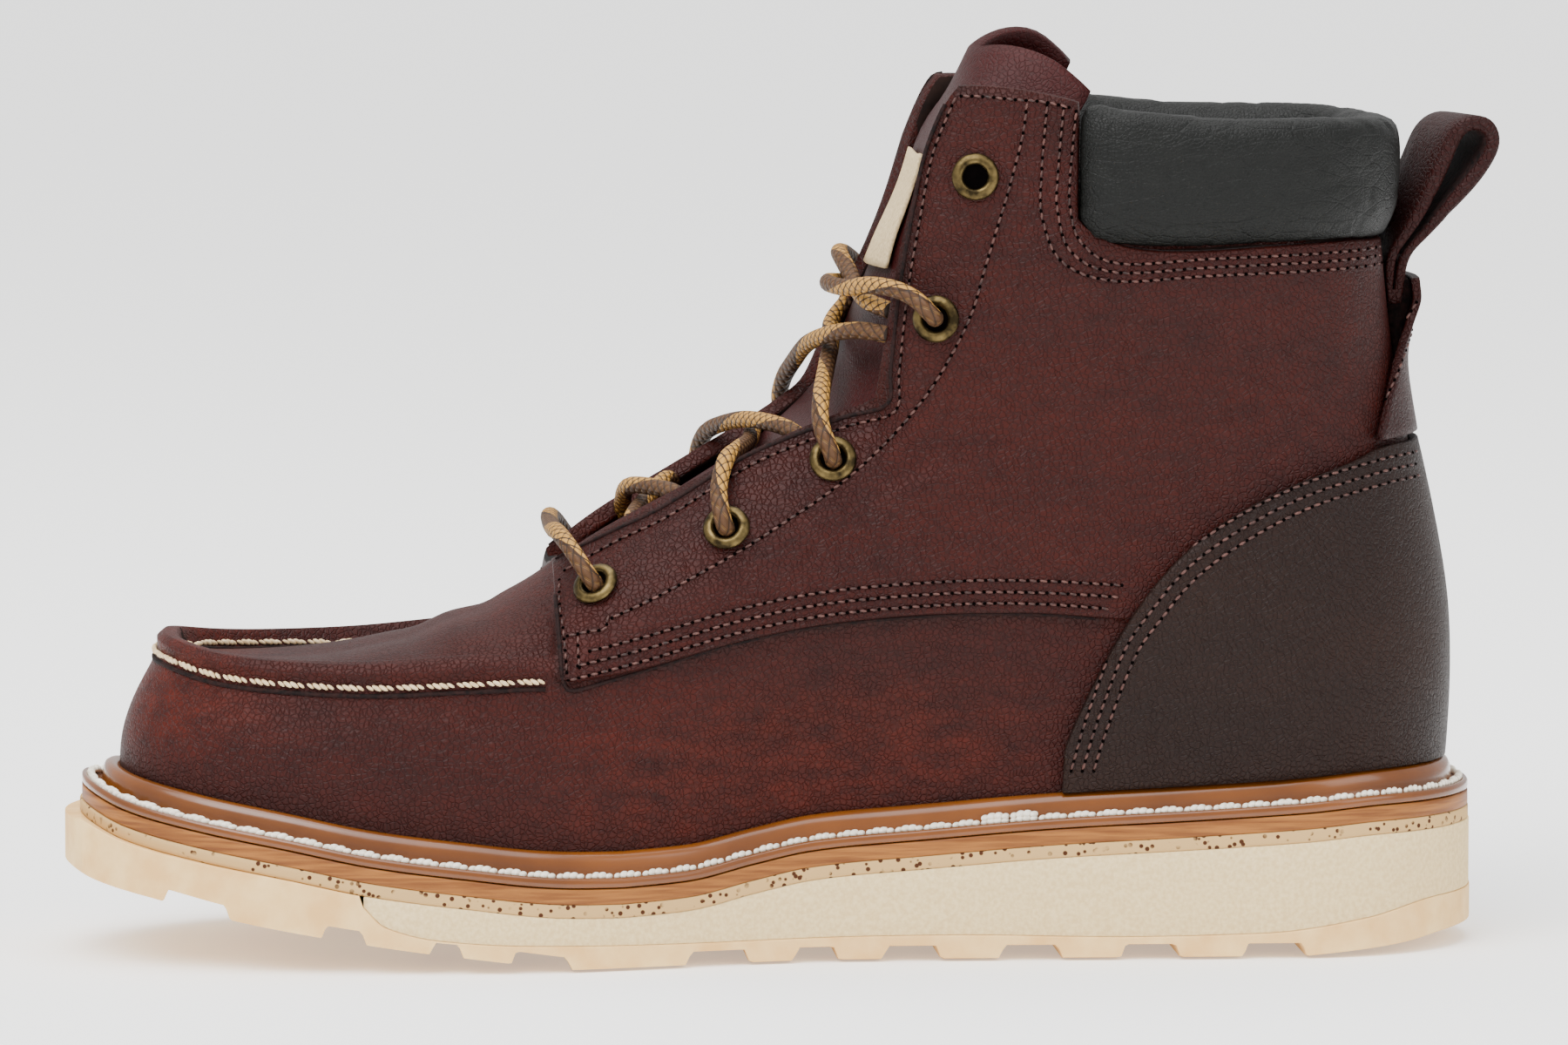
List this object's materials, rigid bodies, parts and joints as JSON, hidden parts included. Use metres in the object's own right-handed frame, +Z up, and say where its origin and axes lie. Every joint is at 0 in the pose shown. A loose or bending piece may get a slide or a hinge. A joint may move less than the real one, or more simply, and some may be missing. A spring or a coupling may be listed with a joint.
{
  "type": "work boot",
  "caption": "Moc-toe lace-up ankle work boot for the right foot, with a welted wedge sole, padded collar, heel counter and pull loop, standing empty.",
  "frame": {"origin": "on the floor plane under the tread's middle rib, halfway along the sole", "axes": "+X toward the heel, toe along -X; +Y toward the lateral side, medial side along -Y; +Z up"},
  "size_m": [0.3083, 0.109, 0.1937],
  "materials": {
    "upper_leather": "oiled full grain leather, satin",
    "counter_leather": "oiled full grain leather, darker",
    "collar_pad": "soft padded leather, satin",
    "tongue_leather": "soft leather",
    "label_cloth": "plain woven label",
    "welt": "glossy honey storm welt",
    "midsole": "tan edge with fine pale streaks",
    "slip_sole": "cream foam rubber with brown specks",
    "wedge": "fine sandy cream foam rubber",
    "tread": "cream rubber",
    "insole": "matt tan board",
    "lace": "round braid, gold with brown ticks",
    "eyelet_brass": "antique brass, worn"
  },
  "bodies": {
    "root": {"upper": "upper_leather", "counter": "counter_leather", "backstay": "upper_leather", "collar": "collar_pad", "pull_loop": "upper_leather", "tongue": "tongue_leather", "tongue_patch": "label_cloth", "welt": "welt", "midsole": "midsole", "slip_sole": "slip_sole", "wedge": "wedge", "tread": "tread", "insole": "insole", "lace_bar": "lace", "lace_cross_1": "lace", "lace_cross_2": "lace", "lace_cross_3": "lace", "lace_knot_medial": "lace", "lace_knot_lateral": "lace", "eyelet_medial_1": "eyelet_brass", "eyelet_medial_2": "eyelet_brass", "eyelet_medial_3": "eyelet_brass", "eyelet_medial_4": "eyelet_brass", "eyelet_medial_5": "eyelet_brass", "eyelet_lateral_1": "eyelet_brass", "eyelet_lateral_2": "eyelet_brass", "eyelet_lateral_3": "eyelet_brass", "eyelet_lateral_4": "eyelet_brass", "eyelet_lateral_5": "eyelet_brass"}
  },
  "joints": []
}
